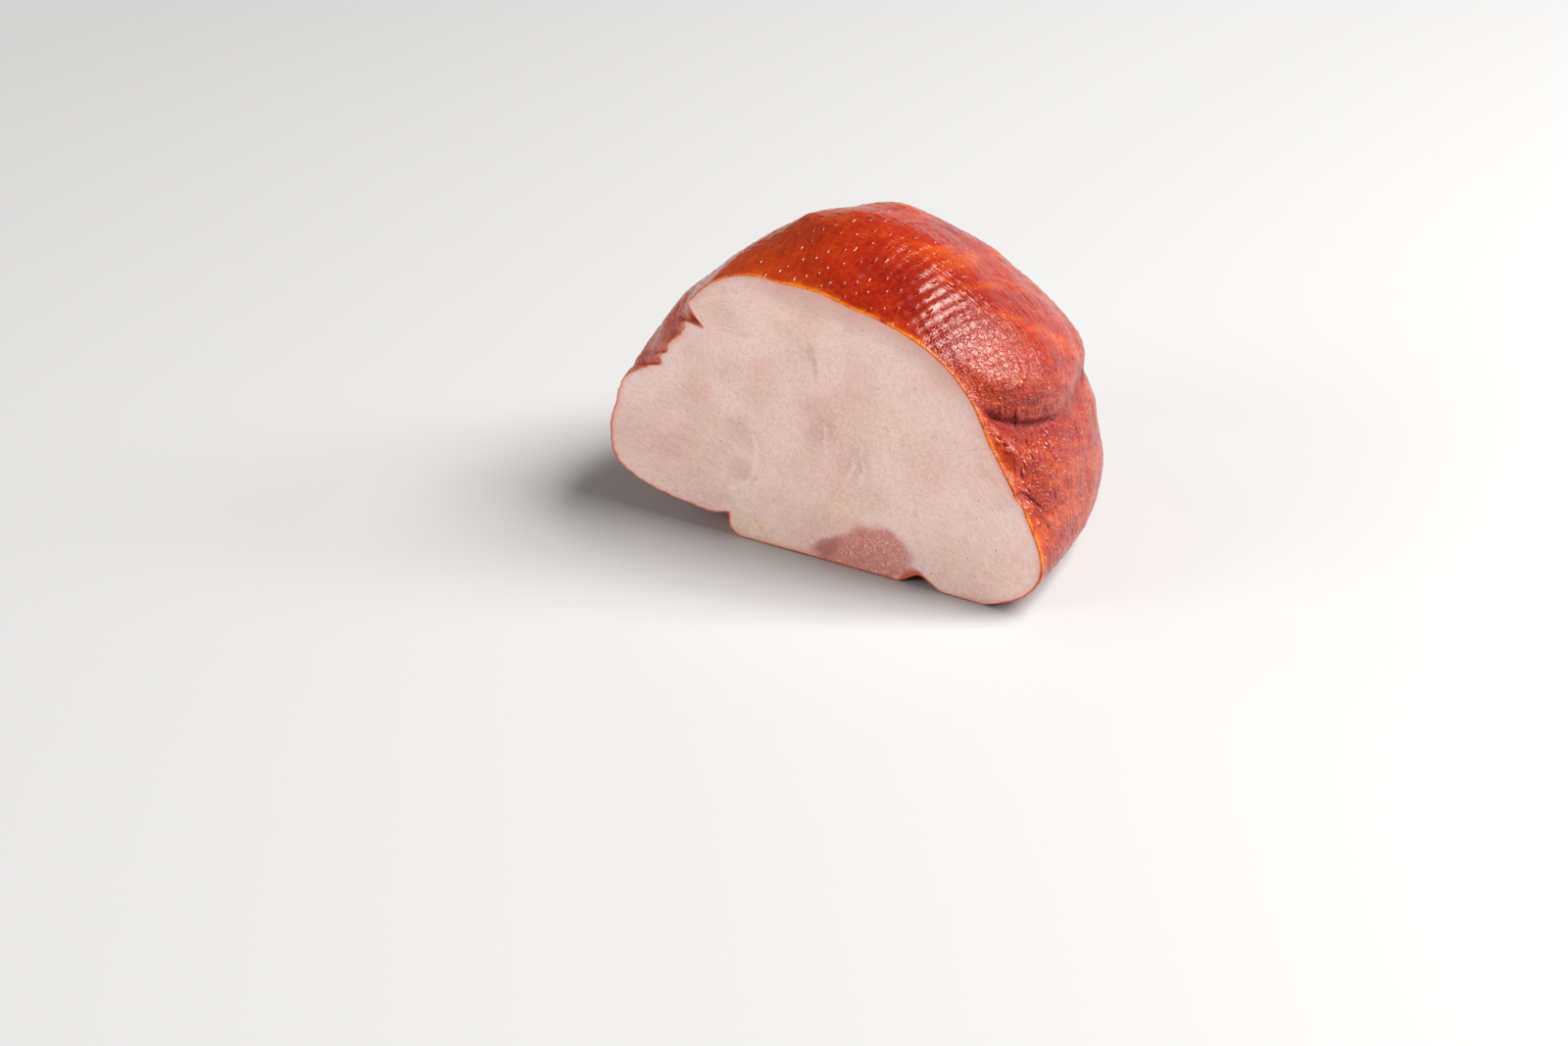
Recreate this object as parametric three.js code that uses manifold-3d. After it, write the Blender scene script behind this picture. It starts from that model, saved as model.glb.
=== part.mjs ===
// Half of a boneless smoked leg ham, cut across once. Millimetres, +Z up, the cut facing -Y.
// The skin is one surface: an outline around the cut, swollen and then drawn in towards the rear,
// with the folds that its netting pressed into it. The base is flat where the ham rests.
import * as THREE from 'three';
import { mergeVertices } from 'three/addons/utils/BufferGeometryUtils.js';
import Module from 'manifold-3d';

// Driving dimensions. Depth is measured back from the cut, angles in degrees from +X towards +Z.
const ham = {
  length: 126,          // from the cut to the rear end
  cutPlaneY: -63,
  middleX: 3,           // where the angles are measured from, in the cut
  middleZ: 50,
  endShiftX: -3.3,      // how far the rear end lies from that line
  endShiftZ: -16.4,
  taper: 0.8,           // below 1 keeps the body full before it closes
  roundness: 0.94,
  swellDepth: 46,       // the cut's outline has become the body's by here
  swellPower: 1.9,
  floorRounding: 2.5,
  floorTuck: 1,         // the rounding ends this far under the base plane
};

// Radius of the cut's outline: right corner, right side, top, left shoulder, left end, underside.
const cutOutline = [
  [325, 84.5], [332, 91], [340, 92.3], [348, 84.6], [356, 75.8], [8, 67], [24, 62.8], [39, 58.6],
  [55, 53.8], [75, 49.9], [93, 51.1], [108, 54.3], [120, 59.8], [131, 64.2], [142, 66.6],
  [149, 67], [157, 64], [166, 69], [174, 75], [179, 84], [186, 88.8], [195, 94.6], [200, 94.4],
  [207, 85.6], [215, 73], [224, 63.2], [233, 61.6], [244, 61], [258, 58], [275, 58], [295, 62],
  [312, 75],
];

// Radius of the body behind the cut, before it closes.
const bodyOutline = [
  [0, 78.2], [25, 75.9], [50, 68.6], [75, 68.7], [100, 72.8], [125, 71.4], [150, 76], [164, 87],
  [178, 93.5], [200, 91], [225, 75], [250, 64], [280, 65], [310, 75], [335, 90.7],
];

// Nicks in the cut's edge, each running back and fading out while its angle slips by some degrees.
// The width is in degrees.
const nickFading = 1.5;  // above 1 keeps a nick deep near the cut before it fades
const nicks = [
  { angle: 150.3, deep: 7.5, wide: 1.6, run: 4, slip: 18, slipRun: 15 },
  { angle: 166.3, deep: 2.2, wide: 1.6, run: 7, slip: 16.5, slipRun: 15 },
  { angle: 171.3, deep: 3, wide: 1.6, run: 9, slip: 15.5, slipRun: 15 },
  { angle: 226.3, deep: 4.5, wide: 2.2, run: 9, slip: -10, slipRun: 20 },
];

// Folds that run back through the skin. A fold's path starts turned away from its angle, settles on
// it, and may turn again. It is a crease, wider on one side than on the other and worn off by the end
// of sharpTo, in a wider valley, with a bulge on each side where given. The mesh's columns within
// reach of follow, in degrees, lean along with the path.
const folds = {
  side: {
    angle: 6.2, startTurn: 17, startRun: 13, endTurn: 4.8, endFrom: 35, endTo: 85, follow: 25,
    deep: 2.2, creaseAbove: 1.3, creaseBelow: 3.4, sharpTo: [28, 48], valleyDeep: 2.6, valleyWide: 9,
    above: { high: 1.6, at: 13, wide: 9 }, below: { high: 1.8, at: -14, wide: 10 },
    opens: [0, 9], fades: [98, 120],
  },
  tuck: {
    angle: 355.5, startTurn: 0, startRun: 1, endTurn: -6, endFrom: 3, endTo: 14, follow: 12,
    deep: 1.3, creaseAbove: 0.6, creaseBelow: 1.3, sharpTo: [9, 15], valleyDeep: 0, valleyWide: 1,
    above: { high: 0, at: 0, wide: 1 }, below: { high: 1.3, at: -3.2, wide: 2.2 },
    opens: [-2, 2], fades: [9, 15],
  },
  shoulder: {
    angle: 170, startTurn: -18, startRun: 15, endTurn: 9, endFrom: 35, endTo: 100, follow: 40,
    deep: 2, creaseAbove: 2.6, creaseBelow: 2.6, sharpTo: [60, 90], valleyDeep: 2.2, valleyWide: 9,
    above: { high: 0.8, at: -14, wide: 10 }, below: { high: 1.5, at: 14, wide: 10 },
    opens: [14, 36], fades: [70, 112],
  },
  under: {
    angle: 216, startTurn: 10, startRun: 20, endTurn: -6, endFrom: 40, endTo: 90, follow: 25,
    deep: 1.6, creaseAbove: 2.8, creaseBelow: 2.8, sharpTo: [50, 80], valleyDeep: 1.8, valleyWide: 9,
    above: { high: 0, at: 0, wide: 1 }, below: { high: 0, at: 0, wide: 1 },
    opens: [4, 20], fades: [60, 100],
  },
};

// Knobs on the top ridge, and the hollow under the cut's lower edge.
const knobs = [
  { angle: 96, depth: 64, high: 2.2, wide: 9 },
  { angle: 112, depth: 34, high: 1.2, wide: 6 },
  { angle: 64, depth: 82, high: 1.4, wide: 9 },
];
const hollow = { x: 42, wide: 6.5, high: 5.3, run: 16, fade: 4 };

// The mesh: columns around the skin, closer at fine places, and rows from the cut to the rear.
const mesh = { columns: 162, rows: 38, rowCrowding: 1.3, crowding: 2.6, steps: 1440 };
const finePlaces = [
  { angle: 9, wide: 7 }, { angle: 169, wide: 5 }, { angle: 184.5, wide: 7 }, { angle: 217, wide: 6 },
];
const slab = { side: 300, thick: 20 };
const weldDistance = 1e-4;

const bell = (distance, width) => Math.exp(-((distance / width) ** 2));
const rise = (value, from, to) => THREE.MathUtils.smoothstep(value, from, to);
const turn = (a, b) => ((a - b + 540) % 360) - 180;

// A closed curve of radius against angle through [angle, radius] knots: cubic between two knots,
// with each knot's slope weighed from the stretches on its two sides.
function closedCurve(knots) {
  const sorted = [...knots].sort((p, q) => p[0] - q[0]);
  const n = sorted.length;
  const knot = (i) => {
    const [a, r] = sorted[(i + n) % n];
    return [a + 360 * Math.floor(i / n), r];
  };
  const slope = (i) => {
    const [[a0, r0], [a1, r1], [a2, r2]] = [knot(i - 1), knot(i), knot(i + 1)];
    const before = (r1 - r0) / (a1 - a0);
    const after = (r2 - r1) / (a2 - a1);
    return (before * (a2 - a1) + after * (a1 - a0)) / (a2 - a0);
  };
  return (angle) => {
    const a = angle < sorted[0][0] ? angle + 360 : angle;
    const i = sorted.filter((k) => k[0] <= a).length - 1;
    const [[a0, r0], [a1, r1]] = [knot(i), knot(i + 1)];
    const gap = a1 - a0;
    const t = (a - a0) / gap;
    return (1 + 2 * t) * (1 - t) ** 2 * r0 + t * (1 - t) ** 2 * gap * slope(i)
      + t * t * (3 - 2 * t) * r1 + t * t * (t - 1) * gap * slope(i + 1);
  };
}

const cutRadius = closedCurve(cutOutline);
const bodyRadius = closedCurve(bodyOutline);

// How far a fold's path is turned from its angle at this depth.
const foldTurn = (fold, depth) => fold.startTurn * Math.exp(-depth / fold.startRun)
  + fold.endTurn * rise(depth, fold.endFrom, fold.endTo);

// What a fold adds to a radius r.
function foldRelief(fold, angle, depth, r) {
  const across = r * THREE.MathUtils.degToRad(turn(angle, fold.angle + foldTurn(fold, depth)));
  const strength = rise(depth, ...fold.opens) * (1 - rise(depth, ...fold.fades));
  const crease = bell(across, across > 0 ? fold.creaseAbove : fold.creaseBelow)
    * (1 - rise(depth, ...fold.sharpTo));
  return strength * (fold.above.high * bell(across - fold.above.at, fold.above.wide)
    + fold.below.high * bell(across - fold.below.at, fold.below.wide)
    - fold.deep * crease - fold.valleyDeep * bell(across, fold.valleyWide));
}

// The angle of a mesh column at this depth: it leans along with the folds that are near it.
function leaningAngle(column, depth) {
  const lean = Object.values(folds)
    .map((fold) => foldTurn(fold, depth) * bell(turn(column, fold.angle), fold.follow));
  return (column + lean.reduce((sum, value) => sum + value, 0) + 360) % 360;
}

function knobRelief(knob, angle, depth, r) {
  const across = r * THREE.MathUtils.degToRad(turn(angle, knob.angle));
  return knob.high * bell(across, knob.wide) * bell(depth - knob.depth, knob.wide);
}

function nickDepth(nick, angle, depth) {
  const path = nick.angle + nick.slip * (1 - Math.exp(-depth / nick.slipRun));
  return nick.deep * bell(turn(angle, path), nick.wide) * Math.exp(-((depth / nick.run) ** nickFading));
}

// Distance of the skin from the middle line, before the body closes towards the rear.
function skinRadius(angle, depth) {
  const left = 1 - Math.min(depth / ham.swellDepth, 1);
  const swollen = 1 - left ** ham.swellPower;
  let r = THREE.MathUtils.lerp(cutRadius(angle), bodyRadius(angle), swollen);
  for (const nick of nicks) r -= nickDepth(nick, angle, depth);
  for (const fold of Object.values(folds)) r += foldRelief(fold, angle, depth, r);
  for (const knob of knobs) r += knobRelief(knob, angle, depth, r);
  return r;
}

// The ham's own weight presses it flat: heights under the floor end just below it, rounded.
function settle(z) {
  const k = ham.floorRounding;
  const u = z + ham.floorTuck;
  if (u > k) return z;
  return (u < -k ? 0 : (u + k) ** 2 / (4 * k)) - ham.floorTuck;
}

// A point of the skin: quarter runs from 0 at the cut to a right angle at the rear end.
function skinPoint(column, quarter) {
  const depth = ham.length * Math.sin(quarter) ** ham.roundness;
  const back = depth / ham.length;
  const angle = leaningAngle(column, depth);
  const r = skinRadius(angle, depth) * Math.max(Math.cos(quarter), 0) ** ham.taper;
  const a = THREE.MathUtils.degToRad(angle);
  const x = ham.middleX + ham.endShiftX * back + r * Math.cos(a);
  const z = settle(ham.middleZ + ham.endShiftZ * back ** 2 + r * Math.sin(a));
  const lift = hollow.high * bell(x - hollow.x, hollow.wide) * bell(depth, hollow.run)
    * Math.exp(-Math.max(z, 0) / hollow.fade);
  return [x, ham.cutPlaneY + depth, z + lift];
}

// Column angles, closer together at the fine places.
function columnAngles() {
  const reach = [0];
  for (let i = 0; i < mesh.steps; i += 1) {
    const angle = (360 * (i + 0.5)) / mesh.steps;
    const crowd = finePlaces.map((place) => mesh.crowding * bell(turn(angle, place.angle), place.wide));
    reach.push(reach[i] + 1 + crowd.reduce((sum, c) => sum + c, 0));
  }
  return Array.from({ length: mesh.columns }, (_, column) => {
    const target = (reach[mesh.steps] * column) / mesh.columns;
    const i = reach.findIndex((value) => value > target) - 1;
    return (360 * (i + (target - reach[i]) / (reach[i + 1] - reach[i]))) / mesh.steps;
  });
}

// The whole skin as rings of points, closed by a flat fan at the cut and a fan at the rear end.
function hamSurface() {
  const columns = columnAngles();
  const n = columns.length;
  const points = [];
  for (let row = 0; row < mesh.rows; row += 1) {
    const quarter = (Math.PI / 2) * (row / mesh.rows) ** mesh.rowCrowding;
    columns.forEach((column) => points.push(...skinPoint(column, quarter)));
  }
  const cutMiddle = n * mesh.rows;
  const rearEnd = cutMiddle + 1;
  points.push(ham.middleX, ham.cutPlaneY, ham.middleZ);
  points.push(...skinPoint(0, Math.PI / 2));
  const faces = [];
  for (let i = 0; i < n; i += 1) {
    const j = (i + 1) % n;
    faces.push(cutMiddle, i, j);
    for (let row = 0; row < mesh.rows - 1; row += 1) {
      const [a, b, c, d] = [row * n + i, row * n + j, (row + 1) * n + j, (row + 1) * n + i];
      faces.push(a, d, c, a, c, b);
    }
    const last = (mesh.rows - 1) * n;
    faces.push(last + i, rearEnd, last + j);
  }
  const geometry = new THREE.BufferGeometry();
  geometry.setAttribute('position', new THREE.Float32BufferAttribute(points, 3));
  geometry.setIndex(faces);
  return geometry;
}

const wasm = await Module();
wasm.setup();

function toSolid(geometry) {
  const bare = geometry.clone();
  bare.deleteAttribute('normal');
  bare.deleteAttribute('uv');
  const merged = mergeVertices(bare, weldDistance);
  return new wasm.Manifold(new wasm.Mesh({
    numProp: 3,
    vertProperties: merged.getAttribute('position').array,
    triVerts: new Uint32Array(merged.getIndex().array),
  }));
}

function toGeometry(solid) {
  const cut = solid.getMesh();
  const geometry = new THREE.BufferGeometry();
  geometry.setAttribute('position', new THREE.Float32BufferAttribute(cut.vertProperties, 3));
  geometry.setIndex([...cut.triVerts]);
  geometry.computeVertexNormals();
  return geometry;
}

// The ham with its underside cut level at z = 0, where it rests.
function hamBody() {
  const floor = new THREE.BoxGeometry(slab.side, slab.side, slab.thick).translate(0, 0, -slab.thick / 2);
  return toGeometry(toSolid(hamSurface()).subtract(toSolid(floor)));
}

const smokedSkin = new THREE.MeshStandardMaterial({ color: 0xb5391f, roughness: 0.32, metalness: 0 });
const legHam = new THREE.Mesh(hamBody(), smokedSkin);
legHam.name = 'leg_ham';

const part = new THREE.Group();
part.add(legHam);

export default part;
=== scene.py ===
import bpy
import numpy as np
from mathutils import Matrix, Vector


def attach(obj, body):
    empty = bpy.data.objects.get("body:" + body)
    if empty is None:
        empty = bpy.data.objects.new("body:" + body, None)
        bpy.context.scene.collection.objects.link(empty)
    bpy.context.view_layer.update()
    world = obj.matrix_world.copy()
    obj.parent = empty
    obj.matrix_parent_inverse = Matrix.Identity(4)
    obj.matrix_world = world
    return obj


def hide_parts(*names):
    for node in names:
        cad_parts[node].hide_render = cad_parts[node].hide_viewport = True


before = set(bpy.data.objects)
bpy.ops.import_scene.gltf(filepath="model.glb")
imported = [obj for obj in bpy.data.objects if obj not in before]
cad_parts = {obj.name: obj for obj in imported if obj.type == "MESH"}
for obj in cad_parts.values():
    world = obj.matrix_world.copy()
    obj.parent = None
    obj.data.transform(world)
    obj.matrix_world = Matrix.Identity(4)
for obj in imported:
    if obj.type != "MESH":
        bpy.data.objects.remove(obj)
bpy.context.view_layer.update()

mm = 0.001  # shapes are worked out in millimetres and put into Blender in metres

# The ham's form, with the same values as its solid. Angles in degrees from +X towards +Z,
# depth in mm behind the cut.
ham = {
    "length": 126, "cutPlaneY": -63, "middleX": 3, "middleZ": 50,
    "endShiftX": -3.3, "endShiftZ": -16.4, "taper": 0.8, "roundness": 0.94,
    "swellDepth": 46, "swellPower": 1.9, "floorRounding": 2.5, "floorTuck": 1,
    "cutOutline": [
        (325, 84.5), (332, 91), (340, 92.3), (348, 84.6), (356, 75.8), (8, 67), (24, 62.8), (39, 58.6),
        (55, 53.8), (75, 49.9), (93, 51.1), (108, 54.3), (120, 59.8), (131, 64.2), (142, 66.6),
        (149, 67), (157, 64), (166, 69), (174, 75), (179, 84), (186, 88.8), (195, 94.6), (200, 94.4),
        (207, 85.6), (215, 73), (224, 63.2), (233, 61.6), (244, 61), (258, 58), (275, 58), (295, 62),
        (312, 75)],
    "bodyOutline": [
        (0, 78.2), (25, 75.9), (50, 68.6), (75, 68.7), (100, 72.8), (125, 71.4), (150, 76), (164, 87),
        (178, 93.5), (200, 91), (225, 75), (250, 64), (280, 65), (310, 75), (335, 90.7)],
    "nickFading": 1.5,
    "nicks": [  # angle, depth into the meat, width in degrees, run back, slip in degrees, its run
        (150.3, 7.5, 1.6, 4, 18, 15), (166.3, 2.2, 1.6, 7, 16.5, 15), (171.3, 3, 1.6, 9, 15.5, 15),
        (226.3, 4.5, 2.2, 9, -10, 20)],
    "knobs": [(96, 64, 2.2, 9), (112, 34, 1.2, 6), (64, 82, 1.4, 9)],  # angle, depth, height, width
    "hollow": {"x": 42, "wide": 6.5, "high": 5.3, "run": 16, "fade": 4},
}

# Folds of the skin. The crease has one width on each side, above first, and a valley around it.
# above and below are the bulges beside it: height, distance, width.
folds = {
    "side": {
        "angle": 6.2, "startTurn": 17, "startRun": 13, "endTurn": 4.8, "endFrom": 35, "endTo": 85,
        "follow": 25, "deep": 2.2, "wide": (1.3, 3.4), "sharpTo": (28, 48), "valleyDeep": 2.6,
        "valleyWide": 9, "above": (1.6, 13, 9), "below": (1.8, -14, 10), "opens": (0, 9),
        "fades": (98, 120)},
    "tuck": {
        "angle": 355.5, "startTurn": 0, "startRun": 1, "endTurn": -6, "endFrom": 3, "endTo": 14,
        "follow": 12, "deep": 1.3, "wide": (0.6, 1.3), "sharpTo": (9, 15), "valleyDeep": 0,
        "valleyWide": 1, "above": (0, 0, 1), "below": (1.3, -3.2, 2.2), "opens": (-2, 2), "fades": (9, 15)},
    "shoulder": {
        "angle": 170, "startTurn": -18, "startRun": 15, "endTurn": 9, "endFrom": 35, "endTo": 100,
        "follow": 40, "deep": 2, "wide": (2.6, 2.6), "sharpTo": (60, 90), "valleyDeep": 2.2,
        "valleyWide": 9, "above": (0.8, -14, 10), "below": (1.5, 14, 10), "opens": (14, 36),
        "fades": (70, 112)},
    "under": {
        "angle": 216, "startTurn": 10, "startRun": 20, "endTurn": -6, "endFrom": 40, "endTo": 90,
        "follow": 25, "deep": 1.6, "wide": (2.8, 2.8), "sharpTo": (50, 80), "valleyDeep": 1.8,
        "valleyWide": 9, "above": (0, 0, 1), "below": (0, 0, 1), "opens": (4, 20), "fades": (60, 100)},
}

# The fine mesh. Columns run around the skin from the underside, rows from the cut to the rear.
grid = {
    "columns": 600, "rows": 136, "rowCrowding": 1.3, "startAngle": 270, "baseShare": 0.55,
    "faceRings": 26, "faceCrowding": 1.7, "edgeRound": 0.5,
}

# The net that was round the ham: its two meshes, as mm around and along the skin, and how far its
# stitches lean to the side, at the top and low on the sides.
net = {"meshA": (-5.0, 3.1), "meshB": (3.9, 6.2), "stitchLean": (-0.2, 0.5)}

# Low relief that the net and the smoking left in the skin, in mm.
relief = {
    "waveSize": 15, "waveHigh": 0.5,
    "lumpSize": 7, "lumpHigh": 0.34,
    "swells": [(5.5, 6, 1.1, 4), (2.5, 17, 0.9, 4)],  # angle, depth, height, width
    "scallopSize": 1.2, "scallopHigh": 0.5, "scallopRun": 4,
    "netHigh": 0.2,
    "puckerPitch": 5.5, "puckerHigh": 0.45, "puckerReach": 9,
    "edgeKeeps": 0.55, "edgeRun": 6, "floorFade": 3,
    "smoothSpot": (60, -50, 84), "smoothReach": 24, "smoothed": 0.65,  # the taut shoulder
}


# A bell curve of the distance: 1 at 0, 1/e at one width.
def bell(distance, width):
    return np.exp(-(distance / width) ** 2)


# Smooth step from 0 at start to 1 at end.
def rise(value, start, end):
    t = np.clip((value - start) / (end - start), 0, 1)
    return t * t * (3 - 2 * t)


# Difference of two angles, between -180 and 180.
def turn(a, b):
    return np.mod(a - b + 540, 360) - 180


# Cubic through [angle, radius] knots around the circle: each knot's slope is the mean of the slopes
# of its two stretches, each weighed by the other's width.
def closedCurve(knots, angle):
    knot = np.array(sorted(knots), float)
    angles = np.concatenate([knot[-2:, 0] - 360, knot[:, 0], knot[:2, 0] + 360])
    radii = np.concatenate([knot[-2:, 1], knot[:, 1], knot[:2, 1]])
    gaps = np.diff(angles)
    steep = np.diff(radii) / gaps
    slopes = (steep[:-1] * gaps[1:] + steep[1:] * gaps[:-1]) / (gaps[:-1] + gaps[1:])
    angles, radii = angles[1:-1], radii[1:-1]
    i = np.clip(np.searchsorted(angles, angle, side="right") - 1, 0, len(angles) - 2)
    gap = angles[i + 1] - angles[i]
    t = (angle - angles[i]) / gap
    return ((1 + 2 * t) * (1 - t) ** 2 * radii[i] + t * (1 - t) ** 2 * gap * slopes[i]
            + t * t * (3 - 2 * t) * radii[i + 1] + t * t * (t - 1) * gap * slopes[i + 1])


# How far a fold's path is turned from its angle: a start that dies away plus a late smooth turn.
def foldTurn(fold, depth):
    return (fold["startTurn"] * np.exp(-depth / fold["startRun"])
            + fold["endTurn"] * rise(depth, fold["endFrom"], fold["endTo"]))


# Distance across a fold's path in mm, and how strongly the fold shows at this depth.
def foldPlace(fold, angle, depth, r):
    across = r * np.radians(turn(angle, fold["angle"] + foldTurn(fold, depth)))
    return across, rise(depth, *fold["opens"]) * (1 - rise(depth, *fold["fades"]))


# The sharp crease in a fold, from 0 to 1: steeper on one side, and gone sooner than its valley.
def foldCrease(fold, across, depth):
    above, below = fold["wide"]
    return bell(across, np.where(across > 0, above, below)) * (1 - rise(depth, *fold["sharpTo"]))


# What a fold adds to the radius: two bulges less a crease and its valley.
def foldRelief(fold, angle, depth, r):
    across, strength = foldPlace(fold, angle, depth, r)
    bulges = [high * bell(across - at, wide) for high, at, wide in (fold["above"], fold["below"])]
    return strength * (sum(bulges) - fold["deep"] * foldCrease(fold, across, depth)
                       - fold["valleyDeep"] * bell(across, fold["valleyWide"]))


# Radius of the skin before it closes: the cut's outline swells into the body's, less the nicks,
# plus the folds and the knobs.
def skinRadius(angle, depth):
    swollen = 1 - (1 - np.minimum(depth / ham["swellDepth"], 1)) ** ham["swellPower"]
    r = (closedCurve(ham["cutOutline"], angle) * (1 - swollen)
         + closedCurve(ham["bodyOutline"], angle) * swollen)
    for at, deep, wide, run, slip, slipRun in ham["nicks"]:
        path = at + slip * (1 - np.exp(-depth / slipRun))
        r = r - deep * bell(turn(angle, path), wide) * np.exp(-(depth / run) ** ham["nickFading"])
    for fold in folds.values():
        r = r + foldRelief(fold, angle, depth, r)
    for at, back, high, wide in ham["knobs"]:
        r = r + high * bell(r * np.radians(turn(angle, at)), wide) * bell(depth - back, wide)
    return r


# Heights under the floor end just below it, with a rounded shoulder.
def settle(z):
    k = ham["floorRounding"]
    u = z + ham["floorTuck"]
    return np.where(u > k, z, np.where(u < -k, 0, (u + k) ** 2 / (4 * k)) - ham["floorTuck"])


# Points of the skin, with their angle: quarter runs from 0 at the cut to a right angle at the rear,
# the depth is length times its sine and the radius shrinks with its cosine. Columns lean along
# with the folds near them.
def skinPoints(column, quarter):
    depth = ham["length"] * np.sin(quarter) ** ham["roundness"]
    back = depth / ham["length"]
    angle = np.mod(column + sum(foldTurn(fold, depth) * bell(turn(column, fold["angle"]), fold["follow"])
                                for fold in folds.values()), 360)
    r = skinRadius(angle, depth) * np.maximum(np.cos(quarter), 0) ** ham["taper"]
    x = ham["middleX"] + ham["endShiftX"] * back + r * np.cos(np.radians(angle))
    z = settle(ham["middleZ"] + ham["endShiftZ"] * back ** 2 + r * np.sin(np.radians(angle)))
    dent = ham["hollow"]
    z = z + (dent["high"] * bell(x - dent["x"], dent["wide"]) * bell(depth, dent["run"])
             * np.exp(-np.maximum(z, 0) / dent["fade"]))
    return np.stack([x, ham["cutPlaneY"] + depth + 0 * x, np.maximum(z, 0)], -1), angle, depth + 0 * x


# A repeatable number from 0 to 1 for each lattice cell: its coordinates mixed by a wrapping product.
def scatter(cell, seed):
    mixed = (cell[..., 0] * 374761393 + cell[..., 1] * 668265263 + cell[..., 2] * 2147483647
             + seed * 1274126177).astype(np.uint64)
    mixed = (mixed ^ (mixed >> np.uint64(13))) * np.uint64(1274126177) & np.uint64(0xFFFFFFFF)
    mixed = mixed ^ (mixed >> np.uint64(16))
    return mixed.astype(float) / 0xFFFFFFFF


# Smooth noise from -1 to 1 with lumps of one size: lattice numbers blended by smooth steps.
def smoothNoise(points, size, seed):
    p = points / size
    cell = np.floor(p).astype(np.int64)
    t = p - cell
    t = t * t * (3 - 2 * t)
    total = 0
    for corner in np.ndindex(2, 2, 2):
        weight = np.prod(np.where(corner, t, 1 - t), -1)
        total = total + weight * scatter(cell + np.array(corner), seed)
    return 2 * total - 1


# Outward normals of a grid of points whose columns close on themselves.
def gridNormals(points):
    around = np.roll(points, -1, 1) - np.roll(points, 1, 1)
    back = np.gradient(points, axis=0)
    normal = np.cross(back, around)
    return normal / np.maximum(np.linalg.norm(normal, axis=-1, keepdims=True), 1e-9)


# Column angles from the underside round: even along the outline, wider apart on the flat base.
def columnAngles():
    steps = 3600
    angle = np.mod(grid["startAngle"] + 360 * (np.arange(steps) + 0.5) / steps, 360)
    r = closedCurve(ham["bodyOutline"], angle)
    onBase = r * np.sin(np.radians(angle)) < -ham["middleZ"]
    reach = np.concatenate([[0], np.cumsum(r * np.where(onBase, grid["baseShare"], 1))])
    share = np.interp(reach[-1] * np.arange(grid["columns"]) / grid["columns"], reach, np.arange(steps + 1))
    return grid["startAngle"] + 360 * share / steps


# Distance around the body's outline, in mm, at an angle counted on from the start angle.
def outlineReach(angle):
    steps = 3600
    turned = np.linspace(0, 360, steps + 1)
    r = closedCurve(ham["bodyOutline"], np.mod(grid["startAngle"] + turned, 360))
    reach = np.concatenate([[0], np.cumsum((r[1:] + r[:-1]) / 2)]) * np.radians(360 / steps)
    return np.interp(np.mod(angle - grid["startAngle"], 360), turned, reach), reach[-1]


# Place in the net's lattice of a place on the skin: the two shares of its meshes. Takes numbers,
# arrays or wires.
def netPlace(s, t):
    (aS, aT), (bS, bT) = net["meshA"], net["meshB"]
    area = aS * bT - aT * bS
    return (s * bT - t * bS) / area, (t * aS - s * aT) / area


# Height of the low relief over the skin, in mm: waves and lumps, weaker on the shoulder, the net's
# cushions, puckers across the folds, a few swells, and scallops along the left edge of the cut.
def skinRelief(points, angle, depth, s, t):
    waves = relief["waveHigh"] * smoothNoise(points, relief["waveSize"], 11)
    lumps = relief["lumpHigh"] * smoothNoise(points, relief["lumpSize"], 12)
    u, v = netPlace(s + 0.8 * smoothNoise(points, 12, 41), t + 0.8 * smoothNoise(points, 12, 42))
    cushions = relief["netHigh"] * np.cos(2 * np.pi * u) * np.cos(2 * np.pi * v)
    pucker = 0
    for fold in folds.values():
        across, strength = foldPlace(fold, angle, depth, 75)
        lines = np.stack([t + 0.35 * np.abs(across), across / 4, 0 * t], -1)
        ripple = smoothNoise(lines, relief["puckerPitch"] / 2, 43)
        amount = relief["puckerHigh"] * min(fold["valleyDeep"], 1)
        pucker = pucker + amount * ripple * strength * bell(across, relief["puckerReach"])
    swells = sum(high * bell(75 * np.radians(turn(angle, at)), wide) * bell(depth - back, wide)
                 for at, back, high, wide in relief["swells"])
    edge = smoothNoise(np.stack([s, depth / 3, 0 * s], -1), relief["scallopSize"], 45)
    onLeft = rise(-points[..., 0], 30, 60)
    scallops = relief["scallopHigh"] * edge * bell(depth, relief["scallopRun"]) * onLeft
    off = np.linalg.norm(points - relief["smoothSpot"], axis=-1)
    smooth = relief["smoothed"] * bell(off, relief["smoothReach"])
    uneven = 0.6 + 0.4 * smoothNoise(points, 16, 44)
    return (1 - smooth) * (waves + lumps) + cushions * uneven + pucker + swells + scallops


# The relief is weaker at the cut's edge and dies out where the ham rests.
def reliefKept(depth, z):
    edge = relief["edgeKeeps"] + (1 - relief["edgeKeeps"]) * rise(depth, 0, relief["edgeRun"])
    return edge * rise(z, 0, relief["floorFade"])


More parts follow.
